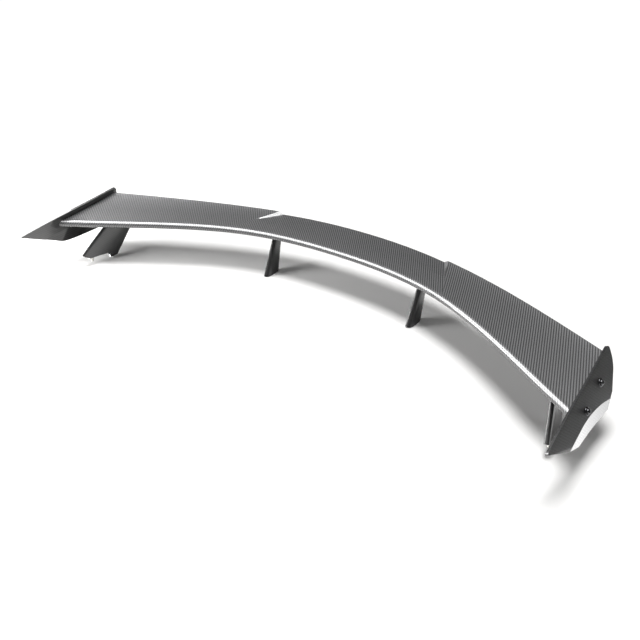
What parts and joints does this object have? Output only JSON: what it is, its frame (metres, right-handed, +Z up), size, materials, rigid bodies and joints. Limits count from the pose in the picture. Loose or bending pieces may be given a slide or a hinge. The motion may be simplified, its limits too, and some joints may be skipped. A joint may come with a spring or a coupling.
{
  "type": "racing rear wing",
  "caption": "Swept carbon rear wing with a stepped trailing edge, canted end plates and raked stands in two pairs.",
  "frame": {"origin": "middle of the wing's outline in plan, at the height of the surface its feet stand on", "axes": "+X along the span to the wing's right-hand end plate as seen in the picture, -Y to the front (the rounded nose), +Z up"},
  "size_m": [1.6028, 0.5085, 0.1724],
  "materials": {
    "carbon_blade": "2x2 twill carbon weave under a clear gloss coat",
    "carbon_plate": "dark 2x2 twill carbon weave under a clear gloss coat",
    "carbon_stand": "near-black carbon under a clear gloss coat",
    "carbon_inner": "bare moulded carbon, matt",
    "aluminium": "machined, satin",
    "zinc_steel": "bright zinc plated",
    "black_steel": "black oxide, slightly glossy"
  },
  "bodies": {
    "root": {"end_plate_left": "carbon_plate", "end_plate_right": "carbon_plate", "end_plate_screw_front_left": "black_steel", "end_plate_screw_front_right": "black_steel", "end_plate_screw_rear_left": "black_steel", "end_plate_screw_rear_right": "black_steel", "end_plate_washer_front_left": "black_steel", "end_plate_washer_front_right": "black_steel", "end_plate_washer_rear_left": "black_steel", "end_plate_washer_rear_right": "black_steel", "front_spar": "carbon_inner", "inner_hardpoint_left": "aluminium", "inner_hardpoint_right": "aluminium", "inner_stand_core_left": "aluminium", "inner_stand_core_right": "aluminium", "inner_stand_left": "carbon_stand", "inner_stand_right": "carbon_stand", "inner_stand_screw_front_left": "zinc_steel", "inner_stand_screw_front_right": "zinc_steel", "inner_stand_screw_rear_left": "zinc_steel", "inner_stand_screw_rear_right": "zinc_steel", "lower_skin": "carbon_blade", "outer_foot_block_left": "aluminium", "outer_foot_block_right": "aluminium", "outer_foot_nut_left": "zinc_steel", "outer_foot_nut_right": "zinc_steel", "outer_foot_stud_left": "zinc_steel", "outer_foot_stud_right": "zinc_steel", "outer_hardpoint_left": "aluminium", "outer_hardpoint_right": "aluminium", "outer_heel_block_left": "aluminium", "outer_heel_block_right": "aluminium", "outer_heel_pin_left": "zinc_steel", "outer_heel_pin_right": "zinc_steel", "outer_stand_left": "carbon_stand", "outer_stand_right": "carbon_stand", "outer_stand_screw_front_left": "zinc_steel", "outer_stand_screw_front_right": "zinc_steel", "outer_stand_screw_rear_left": "zinc_steel", "outer_stand_screw_rear_right": "zinc_steel", "outer_top_block_left": "aluminium", "outer_top_block_right": "aluminium", "rear_spar": "carbon_inner", "tip_rib_left": "aluminium", "tip_rib_right": "aluminium", "upper_skin": "carbon_blade"}
  },
  "joints": []
}
